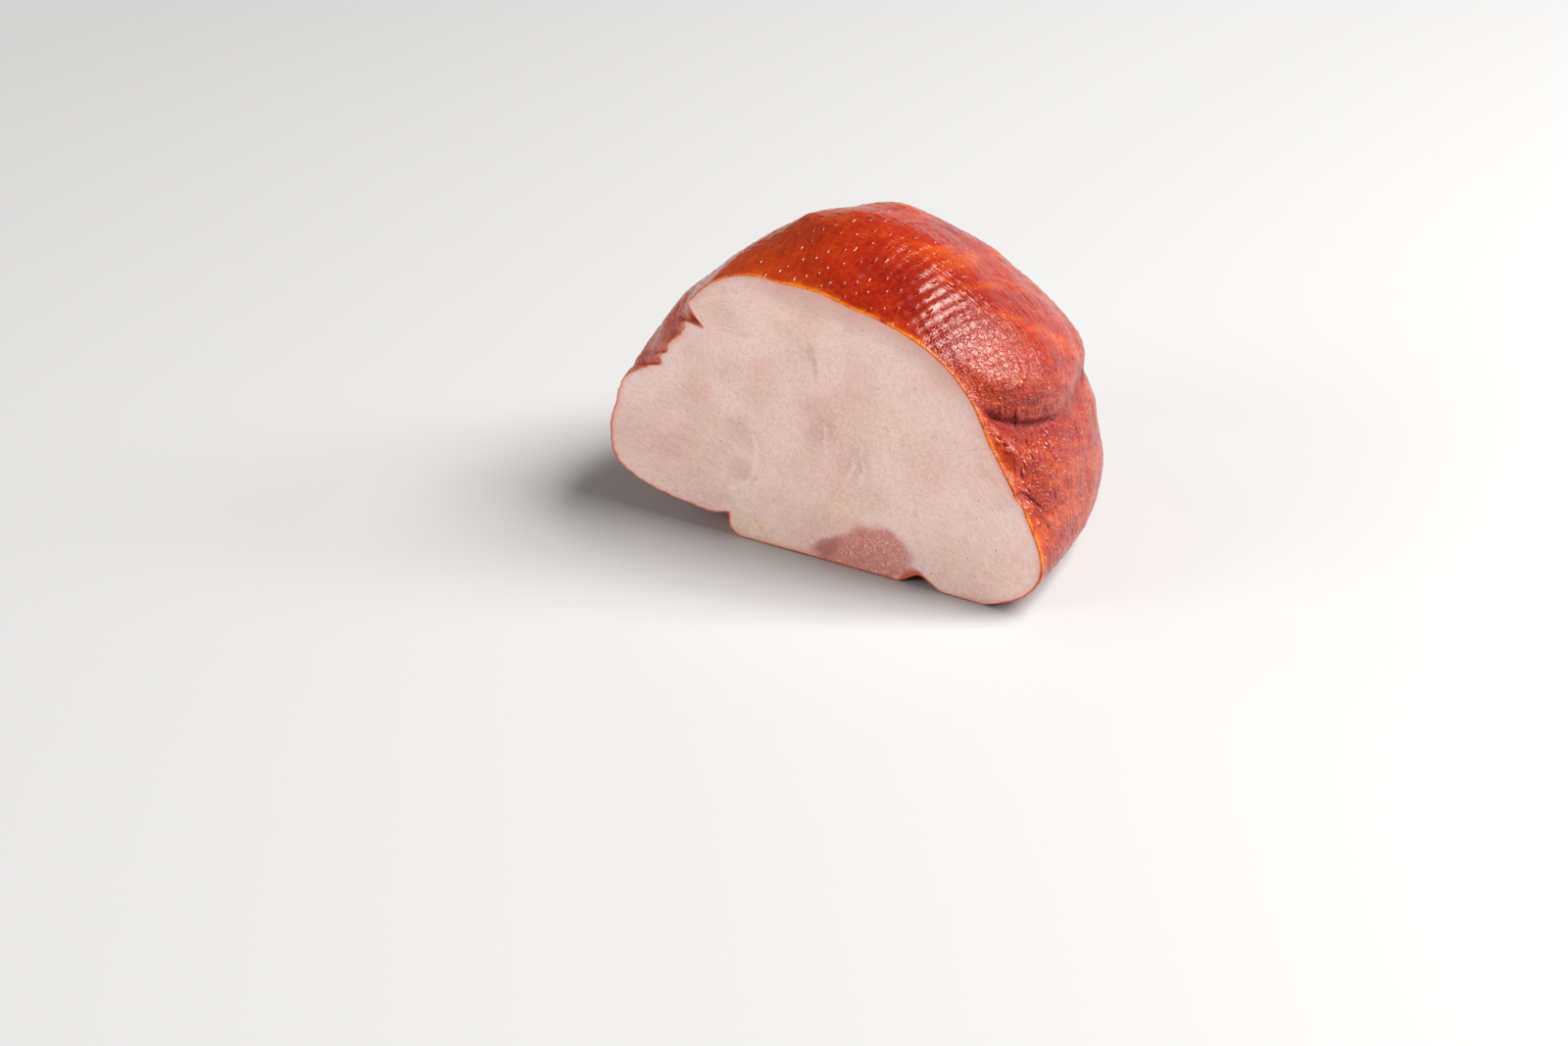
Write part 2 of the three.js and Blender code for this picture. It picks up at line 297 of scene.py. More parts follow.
# The skin's grid of points, each moved along its normal by the relief, and what the materials read
# from it: distance around and along the skin in mm, the whole way round, and how strongly the creases show,
# where the skin paints shade.
def hamSkin():
    rows = grid["rows"]
    quarter = np.pi / 2 * (np.arange(2, rows) / rows) ** grid["rowCrowding"]
    first = np.arcsin((grid["edgeRound"] / ham["length"]) ** (1 / ham["roundness"]))
    quarter = np.concatenate([[first], quarter])[:, None]
    column = np.mod(columnAngles(), 360)[None, :]
    points, angle, depth = skinPoints(column, quarter)
    along = np.linalg.norm(np.diff(points, axis=0), axis=-1)
    t = np.concatenate([np.zeros((1, points.shape[1])), np.cumsum(along, 0)])
    s, around = outlineReach(angle)
    normal = gridNormals(points)
    flat = 1 - rise(depth, 0.5, 4)
    normal[..., 1] *= 1 - flat
    normal /= np.linalg.norm(normal, axis=-1, keepdims=True)
    keep = reliefKept(depth, points[..., 2])
    high = skinRelief(points, angle, depth, s, t) * keep
    points = points + normal * high[..., None]
    points[..., 2] = np.maximum(points[..., 2], 0)
    # crease marks, for painted shade and rougher skin in the creases: the sharp crease, and a broad band
    # beside a valley
    crease = np.zeros_like(depth)
    for fold in folds.values():
        across, strength = foldPlace(fold, angle, depth, 75)
        sharp = foldCrease(fold, across / 1.2, depth)
        beside = 0.35 * bell(across, 4) * (fold["valleyDeep"] > 0)
        crease = np.maximum(crease, strength * np.maximum(sharp, beside))
    return points, s, t, around, crease


# The ham as one closed mesh: rings of the cut face from its middle out, a rounded edge, the rows of
# the skin, and a fan at the rear. Faces carry the skin's material or the meat's.
def makeHam(skinMaterial, meatMaterial):
    skin, s, t, around, crease = hamSkin()
    n = grid["columns"]
    centre = np.array([ham["middleX"], ham["cutPlaneY"], ham["middleZ"]])
    rim = skin[0].copy()
    rim[:, 1] = ham["cutPlaneY"]
    reach = np.linalg.norm(rim - centre, axis=-1, keepdims=True)
    outward = (rim - centre) / reach
    e = grid["edgeRound"]
    bevel = rim - 0.3 * e * outward + [0, 0.3 * e, 0]
    inset = np.linspace(0, 1, grid["faceRings"] + 1)[:-1] ** grid["faceCrowding"]
    rings = [rim - outward * (e + (reach - e) * share) for share in inset]
    face = np.stack(rings[::-1])
    body = np.concatenate([face, bevel[None], skin])
    body[..., 2] = np.maximum(body[..., 2], 0)
    rows = len(body)
    rear = skinPoints(np.array([[0.0]]), np.array([[np.pi / 2]]))[0].reshape(1, 3)
    points = np.concatenate([body.reshape(-1, 3), centre[None], rear])
    middle, end = rows * n, rows * n + 1
    i = np.arange(n)
    j = (i + 1) % n
    row = np.arange(rows - 1)[:, None] * n
    quads = np.stack([row + i, row + n + i, row + n + j, row + j], -1).reshape(-1, 4)
    fanFront = np.stack([np.full(n, middle), i, j], -1)
    fanRear = np.stack([(rows - 1) * n + j, (rows - 1) * n + i, np.full(n, end)], -1)
    mesh = bpy.data.meshes.new("ham")
    corners = np.concatenate([quads.ravel(), fanFront.ravel(), fanRear.ravel()])
    sizes = np.concatenate([np.full(len(quads), 4), np.full(2 * n, 3)])
    mesh.vertices.add(len(points))
    mesh.vertices.foreach_set("co", (points * mm).astype(np.float32).ravel())
    mesh.loops.add(len(corners))
    mesh.loops.foreach_set("vertex_index", corners.astype(np.int32))
    mesh.polygons.add(len(sizes))
    starts = np.concatenate([[0], np.cumsum(sizes)[:-1]])
    mesh.polygons.foreach_set("loop_start", starts.astype(np.int32))
    faceRows = grid["faceRings"] - 1
    quadIsMeat = np.repeat(np.arange(rows - 1) < faceRows, n)
    isMeat = np.concatenate([quadIsMeat, np.full(n, True), np.full(n, False)])
    mesh.materials.append(skinMaterial)
    mesh.materials.append(meatMaterial)
    mesh.polygons.foreach_set("material_index", isMeat.astype(np.int32))
    mesh.polygons.foreach_set("use_smooth", np.ones(len(sizes), bool))
    mesh.update(calc_edges=True)
    # per vertex: distance around the skin, along it from the cut, and the crease mark, where the skin paints
    # shade
    ahead = grid["faceRings"] + 1
    place = np.zeros((rows * n + 2, 3))
    place[ahead * n:rows * n] = np.stack([s, t, crease], -1).reshape(-1, 3)
    place[:ahead * n, 0] = np.tile(s[0], ahead)
    fromRim = reach[:, 0] - np.linalg.norm(face - centre, axis=-1)
    place[:grid["faceRings"] * n, 1] = -fromRim.ravel()
    place[middle, 1] = -reach.min()
    place[end, 1] = t[-1].max()
    values = place[corners]
    # the last column's right-hand corners count on past the start
    wraps = np.zeros(len(corners), bool)
    quadWrap = np.zeros((rows - 1, n, 4), bool)
    quadWrap[:, -1, 2:] = True
    wraps[:quads.size] = quadWrap.ravel()
    wraps[quads.size + 3 * n - 1] = True
    wraps[-3] = True
    values[wraps, 0] += around
    layer = mesh.attributes.new("skinMap", "FLOAT_VECTOR", "CORNER")
    layer.data.foreach_set("vector", values.astype(np.float32).ravel())
    print("ham:", len(points), "points,", 2 * len(quads) + 2 * n, "triangles")
    piece = bpy.data.objects.new("ham", mesh)
    bpy.context.scene.collection.objects.link(piece)
    return piece


# One node output. Arithmetic on it, with another or with a number, adds Math nodes.
class Wire:
    def __init__(self, nodes, socket):
        self.nodes = nodes
        self.socket = socket

    def __add__(self, other):
        return self.nodes.math("ADD", self, other)

    __radd__ = __add__

    def __sub__(self, other):
        return self.nodes.math("SUBTRACT", self, other)

    def __rsub__(self, other):
        return self.nodes.math("SUBTRACT", other, self)

    def __mul__(self, other):
        return self.nodes.math("MULTIPLY", self, other)

    __rmul__ = __mul__

    def __truediv__(self, other):
        return self.nodes.math("DIVIDE", self, other)

    def __rtruediv__(self, other):
        return self.nodes.math("DIVIDE", other, self)


# The nodes of one material.
class Nodes:
    def __init__(self, name):
        self.material = bpy.data.materials.new(name)
        self.material.use_nodes = True
        self.tree = self.material.node_tree
        self.tree.nodes.clear()

    # Adds a node of a type: settings first, then the values or links of its sockets. The result is
    # the output with this name or number.
    def add(self, kind, settings=None, inputs=None, output=0):
        node = self.tree.nodes.new(kind)
        for key, value in (settings or {}).items():
            setattr(node, key, value)
        for key, value in (inputs or {}).items():
            if isinstance(value, Wire):
                self.tree.links.new(value.socket, node.inputs[key])
            else:
                node.inputs[key].default_value = value
        return Wire(self, node.outputs[output]) if node.outputs else None

    # Smooth step of a wire from 0 at low to 1 at high.
    def step(self, value, low, high):
        return self.add("ShaderNodeMapRange", {"interpolation_type": "SMOOTHSTEP"},
                        {"Value": value, "From Min": low, "From Max": high})

    # A Math node's operation on one or two values.
    def math(self, operation, a, b=0):
        return self.add("ShaderNodeMath", {"operation": operation}, {0: a, 1: b})

    # 1 where a wire has this value, 0 from half a width off.
    def line(self, value, at, half):
        return 1 - self.step(self.math("ABSOLUTE", value - at), 0.2 * half, half)

    # One colour into another by a factor.
    def blend(self, factor, a, b):
        return self.add("ShaderNodeMix", {"data_type": "RGBA"}, {0: factor, 6: a, 7: b}, 2)

    # A Vector Math node's operation on a vector and another vector or a number.
    def vector(self, operation, a, b):
        key = "Scale" if operation == "SCALE" else 1
        return self.add("ShaderNodeVectorMath", {"operation": operation}, {0: a, key: b})

    # A vector's length, or its distance from a point.
    def distance(self, a, b=(0, 0, 0)):
        return self.add("ShaderNodeVectorMath", {"operation": "DISTANCE"}, {0: a, 1: b}, "Value")

    # A vector of two wires, for patterns that lie along the skin.
    def pair(self, a, b):
        return self.add("ShaderNodeCombineXYZ", {}, {0: a, 1: b})

    # Noise from 0 to 1 with lumps of this size in the vector's own unit.
    def noise(self, vector, size, detail=2, roughness=0.5, distortion=0.0):
        return self.add("ShaderNodeTexNoise", {}, {
            "Vector": vector, "Scale": 1 / size, "Detail": detail, "Roughness": roughness,
            "Distortion": distortion})

    # A vector of noise, from 0 to this reach on each axis.
    def drift(self, vector, size, reach, detail=2):
        own = {"Vector": vector, "Scale": 1 / size, "Detail": detail}
        return self.vector("SCALE", self.add("ShaderNodeTexNoise", {}, own, "Color"), reach)

    # Cells of this size: the distance from their points or borders, or a colour of their own.
    def cells(self, vector, size, output="Distance", feature="F1"):
        return self.add("ShaderNodeTexVoronoi", {"feature": feature},
                        {"Vector": vector, "Scale": 1 / size}, output)

    # A vector turned about Y, then stretched: fibres run along the local X.
    def turned(self, vector, degrees, stretch):
        spun = self.add("ShaderNodeMapping", {}, {
            "Vector": vector, "Rotation": (0, np.radians(degrees), 0)})
        return self.vector("MULTIPLY", spun, (1 / stretch, 1, 1))

    # The piece's own coordinates in mm.
    def place(self):
        own = self.add("ShaderNodeTexCoord", {}, {}, "Object")
        return self.vector("SCALE", own, 1 / mm)

    # Distance around the skin, distance along it from the cut (negative on the cut), crease mark for painted
    # shade and roughness.
    def skinMap(self):
        read = self.add("ShaderNodeAttribute", {"attribute_name": "skinMap"}, {}, "Vector")
        return [self.part(read, k) for k in range(3)]

    # One part of a vector or colour: 0, 1 or 2.
    def part(self, vector, k):
        return self.add("ShaderNodeSeparateXYZ", {}, {0: vector}, k)

    # A height in mm made a normal.
    def bump(self, height, strength=1.0):
        return self.add("ShaderNodeBump", {}, {"Height": height, "Distance": 1 * mm, "Strength": strength})

    # The material with one shader, whose sockets are given.
    def finish(self, inputs):
        surface = self.add("ShaderNodeBsdfPrincipled", {}, inputs)
        self.add("ShaderNodeOutputMaterial", {}, {"Surface": surface})
        return self.material


# A colour as it shows on a screen, 0 to 255, in the linear values that shaders take.
def screen(r, g, b):
    c = np.array([r, g, b]) / 255
    linear = np.where(c <= 0.04045, c / 12.92, ((c + 0.055) / 1.055) ** 2.4)
    return (*linear.tolist(), 1.0)


# The skin's colours, the sizes of its marks in mm, how high they stand in mm, and its gloss.
skinLook = {
    "deep": screen(126, 18, 8), "red": screen(150, 31, 10), "orange": screen(192, 82, 17),
    "amber": screen(214, 116, 32), "dark": screen(118, 12, 6), "litRed": screen(184, 46, 10),
    "patchSize": 26, "mottleSize": 5, "finestSize": 1.5, "bandWide": 9, "bandLong": 30, "streakSize": 2.6,
    "stitchLong": 1.6, "stitchWide": 0.5, "stitchHigh": 0.5,
    "beadSize": 1.2, "beadSlope": 0.95, "cragSize": 2.6, "cragSlope": 0.85,
    "crackleSize": 2.3, "crackleDeep": 0.13, "fineSize": 1.1, "fineDeep": 0.06,
    "drySpot": (60, -50, 82), "knitPitch": 1.6, "knitHigh": 0.24, "wrinkleHigh": 0.4,
    "dimpleSize": 2.4, "dimpleHigh": 0.05, "grainSize": 0.4, "grainHigh": 0.02,
    "roughness": (0.14, 0.26), "wetRoughness": 0.1,
    "ior": 1.5, "specular": 0.5, "tint": (1.0, 0.86, 0.74, 1.0),
}


# The net's stitches: a short ridge with straight flanks in each mesh of the net, loosely placed.
def stitchHeight(g, s, t, p):
    look = skinLook
    sway = g.noise(p, 11, 1) * 3
    u, v = netPlace(s + sway, t - sway)
    q = g.pair(u, v)
    cell = {"Vector": q, "Scale": 1.0, "Randomness": 0.4}
    spot = g.add("ShaderNodeTexVoronoi", {"voronoi_dimensions": "2D"}, cell, "Position")
    luck = g.add("ShaderNodeTexVoronoi", {"voronoi_dimensions": "2D"}, cell, "Color")
    gap = g.vector("SUBTRACT", q, spot)
    (aS, aT), (bS, bT) = net["meshA"], net["meshB"]
    atTop, atSide = net["stitchLean"]
    wayS = atSide - g.step(g.part(p, 2), 60, 95) * (atSide - atTop)
    wayT = 0.95
    gapS = g.part(gap, 0) * aS + g.part(gap, 1) * bS
    gapT = g.part(gap, 0) * aT + g.part(gap, 1) * bT
    along = gapS * wayS + gapT * wayT
    across = gapS * wayT - gapT * wayS - along * along * 0.2
    roof = g.math("MAXIMUM", 1 - g.math("ABSOLUTE", across) / look["stitchWide"], 0)
    ends = 1 - g.step(g.math("ABSOLUTE", along), look["stitchLong"] * 0.4, look["stitchLong"])
    return roof * ends * (0.45 + 0.55 * g.part(luck, 0))


# Small cones with straight flanks, so that they glint: their height as a share of the cell's size,
# and each one's luck.
def cones(g, vector, size, tip, k):
    return g.math("MAXIMUM", tip - g.cells(vector, size), 0), g.part(g.cells(vector, size, "Color"), k)


# The smoked skin: red in soft patches, streaked and rugged on the sides, with the net's stitches.
def skinMaterial():
    look = skinLook
    g = Nodes("smokedSkin")
    p = g.place()
    s, t, crease = g.skinMap()
    x, z = g.part(p, 0), g.part(p, 2)
    side = 1 - g.step(z, 66, 88)
    leftSide = 1 - g.step(x, -60, 14)
    beyond = g.math("MAXIMUM", side, g.step(t, 22, 46))  # the sides, and the top towards the rear
    patch = g.noise(p, look["patchSize"], 2, 0.55)
    mottle = g.noise(p, look["mottleSize"], 3, 0.6)
    finest = g.noise(p, look["finestSize"], 3, 0.65)

    # each tint: how much of it shows, and its colour
    colour = g.blend(g.step(patch, 0.4, 0.62), look["deep"], look["red"])
    uneven = g.step(patch * 0.6 + mottle * 0.4, 0.48, 0.7)
    colour = g.blend(uneven * (0.12 + 0.4 * side), colour, look["orange"])
    colour = g.blend((1 - g.step(finest, 0.36, 0.5)) * 0.45, colour, look["deep"])
    colour = g.blend(g.step(finest, 0.5, 0.66) * (0.16 + 0.12 * side), colour, look["orange"])
    # painted light: the sides and the top towards the rear made brighter with a lit red; then long bands of
    # darker and orange tone
    colour = g.blend(beyond * 0.25, colour, look["litRed"])
    bandPlace = g.pair(s / look["bandWide"] + t / look["bandLong"], t / look["bandLong"])
    bands = g.noise(bandPlace, 1, 2, 0.55)
    colour = g.blend((1 - g.step(bands, 0.36, 0.5)) * beyond * 0.6, colour, look["deep"])
    colour = g.blend(g.step(bands, 0.5, 0.64) * beyond * 0.5, colour, look["orange"])
    # painted light: orange and the lit red brighten the left side
    colour = g.blend(leftSide * 0.5 * (0.4 + mottle), colour, look["orange"])
    colour = g.blend(leftSide * side * 0.75, colour, look["litRed"])
    # orange, then a thin line of amber, where the smoke stayed thin beside the cut, most of all low down
    reach = g.step(g.noise(p, 9, 2), 0.35, 0.75) * 4.5 + (1 - g.step(z, 40, 84)) * 5 + 1.4
    thin = (1 - g.step(t / reach, 0.1, 1)) * g.step(mottle, 0.3, 0.6)
    colour = g.blend(thin * 0.6, colour, look["orange"])
    thinnest = (1 - g.step(t / reach, 0.0, 0.3)) * g.step(mottle, 0.25, 0.55)
    colour = g.blend(thinnest * 0.8, colour, look["amber"])
    # the sides are streaked dark and light along the net's pull
    far = g.step(t, 30, 55)
    lowest = 1 - g.step(z, 24, 56)
    streaks = g.noise(g.pair(s / 3 + t / 9, t / 6), look["streakSize"] / 3, 3, 0.6)
    darkest = 0.15 + 0.45 * side * (1 - 0.6 * far) - 0.1 * lowest
    colour = g.blend((1 - g.step(streaks, 0.36, 0.5)) * darkest, colour, look["dark"])
    colour = g.blend(g.step(streaks, 0.5, 0.66) * (0.1 + 0.4 * side), colour, look["orange"])
    # painted shade: the creases darkened to deep red, the sharpest part to dark
    colour = g.blend(g.step(crease, 0.0, 0.3) * 0.6, colour, look["deep"])
    colour = g.blend(g.step(crease, 0.1, 0.9) * 0.3, colour, look["dark"])

    # beads on the rugged sides, and larger crags among them, drawn out upwards
    beads, luck = cones(g, p, look["beadSize"], 0.55, 1)
    rugged = g.step(t, 3, 16) * side * (0.4 + 0.6 * g.step(g.noise(p, 6, 2), 0.36, 0.56))
    rugged = g.math("MAXIMUM", rugged, g.step(t, 34, 60) * 0.3)
    # painted shade: the hollows between the beads darkened to deep red
    colour = g.blend((1 - g.step(beads, 0.0, 0.2)) * rugged * 0.4, colour, look["deep"])
    beads = beads * g.step(luck, 0.1, 0.7) * rugged * (look["beadSize"] * look["beadSlope"])
    crags, luck = cones(g, g.vector("MULTIPLY", p, (1, 1, 0.5)), look["cragSize"], 0.5, 0)
    craggy = g.step(t, 2, 8) * (1 - 0.8 * g.step(t, 26, 50)) * side * (1 - 0.85 * leftSide)
    crags = crags * g.step(luck, 0.35, 0.6) * craggy * (look["cragSize"] * look["cragSlope"])

    # crackle: borders of warped cells, broken up where the noise is low. The skin cracked most where
    # it dried first: on the shoulder beside the cut, and low in patches.
    warped = g.vector("ADD", p, g.drift(p, 2.6, 2.6))
    broken = g.step(g.noise(p, 3.4, 2), 0.36, 0.56)
    dryLow = g.step(g.noise(p, 24, 1), 0.52, 0.68) * side * 0.35
    dry = g.math("MAXIMUM", 1 - g.step(g.distance(p, look["drySpot"]), 14, 32), dryLow)
    border = g.cells(warped, look["crackleSize"], "Distance", "DISTANCE_TO_EDGE")
    fine = g.cells(warped, look["fineSize"], "Distance", "DISTANCE_TO_EDGE")
    groove = (1 - g.step(border, 0.0, 0.1)) * (0.4 + 0.6 * broken) * (0.1 + 0.9 * dry)
    fineGroove = (1 - g.step(fine, 0.0, 0.17)) * (1 - broken * 0.3) * (0.06 + 0.94 * dry)
    colour = g.blend(groove * 0.65, colour, look["dark"])
    colour = g.blend(fineGroove * 0.35, colour, look["dark"])

    # the net: stitches all over, fine knitted rings where it was drawn together, wrinkles between
    stitch = stitchHeight(g, s, t, p) * (1 - dry * 0.8)
    tight = g.step(t, 52, 84)
    knit = g.math("SINE", (t + g.noise(p, 7, 2) * 2.4) * (2 * np.pi / look["knitPitch"])) * 0.5 + 0.5
    loops = g.noise(g.pair(s / 2.4, t / 1.2), 1, 1)
    knit = knit * tight * g.step(g.noise(p, 9, 2), 0.4, 0.62) * g.step(loops, 0.36, 0.62)
    wrinkle = g.noise(g.pair(s / 7, t / 1.5), 1, 3, 0.55, 0.3)
    wrinkle = wrinkle * (0.1 + 0.9 * g.step(t, 16, 30)) * (1 - 0.75 * side)
    # painted sheen: a lighter orange on the wrinkles' crests
    colour = g.blend(g.step(wrinkle, 0.5, 0.64) * 0.22, colour, look["orange"])

    height = (stitch * look["stitchHigh"] * (1 - tight * 0.5) + knit * look["knitHigh"]
              - groove * look["crackleDeep"] - fineGroove * look["fineDeep"]
              + wrinkle * look["wrinkleHigh"] + beads + crags
              + g.noise(p, look["dimpleSize"], 1) * look["dimpleHigh"]
              + g.noise(p, look["grainSize"], 2, 0.6) * look["grainHigh"])
    low, high = look["roughness"]
    rough = g.noise(p, 8, 2) * (high - low) + low + side * 0.08
    wet = g.math("MAXIMUM", g.step(stitch, 0.02, 0.2), g.step(beads + crags, 0.04, 0.2))
    rough = rough + (look["wetRoughness"] - rough) * wet + crease * 0.3
    return g.finish({"Base Color": colour, "Roughness": rough, "Normal": g.bump(height), "IOR": look["ior"],
                     "Specular IOR Level": look["specular"], "Specular Tint": look["tint"]})


# The cut meat's colours and gloss.
meatLook = {
    "pale": screen(240, 209, 198), "pink": screen(234, 192, 181), "white": screen(246, 230, 220),
    "shade": screen(210, 156, 146), "mauve": screen(202, 142, 134), "dark": screen(204, 108, 90),
    "plum": screen(166, 88, 94), "fat": screen(240, 214, 176), "blush": screen(228, 152, 136),
    "rind": screen(196, 74, 36), "thread": screen(184, 116, 104), "pore": screen(140, 78, 68),
    "poreApart": 3.6, "poreDeep": 0.5, "fibreHigh": 0.22, "unevenHigh": 0.3,
    "roughness": 0.42, "coat": 0.15, "coatRoughness": 0.2, "ior": 1.4,
    "glow": 0.2, "glowTint": (1, 0.45, 0.3), "glowReach": 2 * mm,
}

# Muscles in the cut, in mm: x and z of the middle, half width and height, tilt of the shape, and the
# way its fibres run, their width and their length.
muscles = [
    {"at": (-66, 38), "half": (36, 34), "tilt": 10, "fibres": 16, "wide": 0.5, "long": 11},
    {"at": (-38, 30), "half": (17, 17), "tilt": 0, "fibres": 35, "wide": 0.6, "long": 5},
    {"at": (-30, 86), "half": (30, 13), "tilt": -6, "fibres": -4, "wide": 0.55, "long": 12},
    {"at": (-48, 66), "half": (24, 13), "tilt": 24, "fibres": 60, "wide": 0.6, "long": 5},
    {"at": (62, 30), "half": (28, 32), "tilt": -30, "fibres": 40, "wide": 0.5, "long": 5},
    {"at": (-50, 8), "half": (34, 8), "tilt": 10, "fibres": 20, "wide": 0.5, "long": 9},
]

# Darker patches: x, z, half width and height, tilt, strength.
patches = [
    (-32, 41, 9, 11, 20, 0.5), (-31, 26, 9, 8, 0, 0.5), (2, 50, 9, 12, -20, 0.6), (15, 42, 12, 10, 30, 0.5),
    (-2, 58, 12, 8, 0, 0.4), (-60, 30, 16, 9, 20, 0.3), (22, 30, 14, 9, 10, 0.35), (-55, 50, 20, 7, 25, 0.3),
]

# Creamy patches of fat: x, z, half width and height, tilt, strength.
fats = [
    (-30, 5, 16, 7, 4, 0.7), (13, 24, 15, 6, 15, 0.6), (-12, 1.5, 11, 3, 0, 0.9), (35, 1, 5, 3, 0, 0.9),
    (30, 58, 16, 12, 20, 0.35), (-10, 88, 22, 6, 0, 0.35),
]

# Pale seams between muscles, as arcs: x and z of the circle's middle, its radius, then x, z and reach
# of the stretch that shows, and its strength.
seams = [
    (-42, 34, 17, -27, 33, 17, 0.45), (3, 41, 16, 18, 41, 12, 0.5), (3, 41, 11.5, 13, 38, 8, 0.35),
    (60, 47, 57, 3, 47, 7, 0.5), (-20, -2, 26, -30, 20, 12, 0.5), (30, 62, 34, 2, 80, 14, 0.3),
]

# Where the rind shows thicker on the cut: x, z, reach and by how much, in mm.
rindThick = [(42, 5, 11, 3.0), (-41, 6, 6, 1.2), (-49, 80, 7, 1.6), (-72, 64, 10, 0.6), (-80, 20, 30, 0.4)]


# Distance from the middle of an ellipse in the cut's plane, as a share of its radius.
def patchReach(g, p, x, z, wide, high, tilt=0):
    local = g.add("ShaderNodeMapping", {"vector_type": "TEXTURE"}, {
        "Vector": p, "Location": (x, ham["cutPlaneY"], z), "Rotation": (0, -np.radians(tilt), 0),
        "Scale": (wide, 1000, high)})
    return g.distance(local)


# Mask of such an ellipse, soft at its border: 1 inside.
def patchMask(g, p, x, z, wide, high, tilt, soft):
    return 1 - g.step(patchReach(g, p, x, z, wide, high, tilt), 1 - soft, 1)


# The cut meat: muscles with their fibres, darker and fat patches, seams, pores, and the rind's line.
def meatMaterial():
    look = meatLook
    g = Nodes("cutMeat")
    p = g.place()
    s, t = g.skinMap()[:2]
    inside = 0 - t
    warped = g.vector("SUBTRACT", g.vector("ADD", p, g.drift(p, 9, 7, 3)), (3.5, 3.5, 3.5))
    broad = g.noise(p, 20, 2, 0.5)
    curly = g.noise(p, 1.3, 2, 0.6, 1.2)
    # fibres: curled where they are cut across, straighter where a muscle lies along the cut
    flow = g.vector("SUBTRACT", g.vector("ADD", p, g.drift(p, 15, 8, 1)), (4, 4, 4))
    fibre = curly
    for m in muscles:
        mask = patchMask(g, warped, *m["at"], *m["half"], m["tilt"], 0.6)
        own = g.noise(g.turned(flow, -m["fibres"], m["long"] / m["wide"]), m["wide"], 2, 0.6, 0.15)
        fibre = fibre * (1 - mask) + own * mask
    # the muscle under the top edge runs along it
    alongEdge = g.noise(g.pair(s / 13, t / 0.75), 1, 2, 0.6, 0.2)
    left, right = [outlineReach(np.array([a]))[0][0] for a in (122, 20)]
    topEdge = g.step(s, right - 14, right + 14) * (1 - g.step(s, left - 16, left + 10))
    band = topEdge * (1 - g.step(inside + g.noise(p, 12, 1) * 6, 10, 17))
    fibre = fibre * (1 - band) + alongEdge * band
    colour = g.blend(g.step(broad, 0.36, 0.66), look["pale"], look["pink"])
    for x, z, wide, high, tilt, strength in patches:
        mask = patchMask(g, warped, x, z, wide, high, tilt, 0.9)
        colour = g.blend(mask * strength, colour, look["shade"])
    mauve = band * (0.4 + 0.6 * g.step(alongEdge, 0.35, 0.6)) * (1 - g.step(inside, 2, 12))
    colour = g.blend(mauve * 0.65, colour, look["mauve"])
    streak = patchMask(g, warped, -1.5, 75.5, 2.2, 8, 8, 0.6)
    colour = g.blend(streak * 0.45, colour, look["mauve"])
    redMuscle = 1 - (1 - patchMask(g, warped, 25, 8.5, 16, 13, 8, 0.35)) * (
        1 - patchMask(g, warped, 9, 4.5, 14, 8.5, 32, 0.35))
    colour = g.blend(redMuscle * 0.88, colour, look["dark"])
    plum = patchMask(g, warped, 4.5, 6, 8, 5.5, 40, 0.5) * redMuscle
    colour = g.blend(plum * 0.7, colour, look["plum"])
    for x, z, wide, high, tilt, strength in fats:
        mask = patchMask(g, warped, x, z, wide, high, tilt, 0.8) * g.step(curly, 0.25, 0.6)
        colour = g.blend(mask * strength, colour, look["fat"])
    # pale and dark threads, along two heights of the fibres' noise
    pale = 1 - redMuscle * 0.5
    colour = g.blend(g.step(fibre, 0.5, 0.72) * pale * 0.3, colour, look["white"])
    colour = g.blend(g.line(fibre, 0.54, 0.05) * pale * 0.3, colour, look["white"])
    colour = g.blend(g.line(fibre, 0.42, 0.06) * 0.28, colour, look["shade"])
    fine = g.noise(p, 0.55, 2, 0.6)
    colour = g.blend((1 - g.step(fine, 0.34, 0.5)) * 0.2, colour, look["shade"])
    # short dark threads, in clouds
    thread = g.line(g.noise(g.turned(warped, -20, 3), 0.8, 1, 0.5, 1.5), 0.5, 0.03)
    thread = thread * g.step(g.noise(p, 2.2, 2), 0.5, 0.62) * g.step(g.noise(p, 14, 1), 0.3, 0.6)
    colour = g.blend(thread * 0.45, colour, look["thread"])
    fleck = g.noise(p, 0.9, 2, 0.65, 1.2)
    inRed = redMuscle * (1 - plum)
    colour = g.blend(g.step(fleck, 0.52, 0.68) * inRed * 0.42, colour, look["white"])
    colour = g.blend((1 - g.step(fleck, 0.34, 0.46)) * inRed * 0.5, colour, look["plum"])
    for x, z, radius, showX, showZ, reach, strength in seams:
        off = patchReach(g, warped, x, z, radius, radius) * radius - radius
        line = 1 - g.step(off * off, 0.1, 1.1)
        shows = patchMask(g, p, showX, showZ, reach, reach, 0, 0.6)
        colour = g.blend(line * shows * strength * g.step(curly, 0.3, 0.6), colour, look["white"])
    chance = g.part(g.cells(p, look["poreApart"], "Color"), 0)
    pore = (1 - g.step(g.cells(p, look["poreApart"]), 0.03, 0.12)) * g.step(chance, 0.4, 1.1)
    colour = g.blend(pore * 0.8, colour, look["pore"])
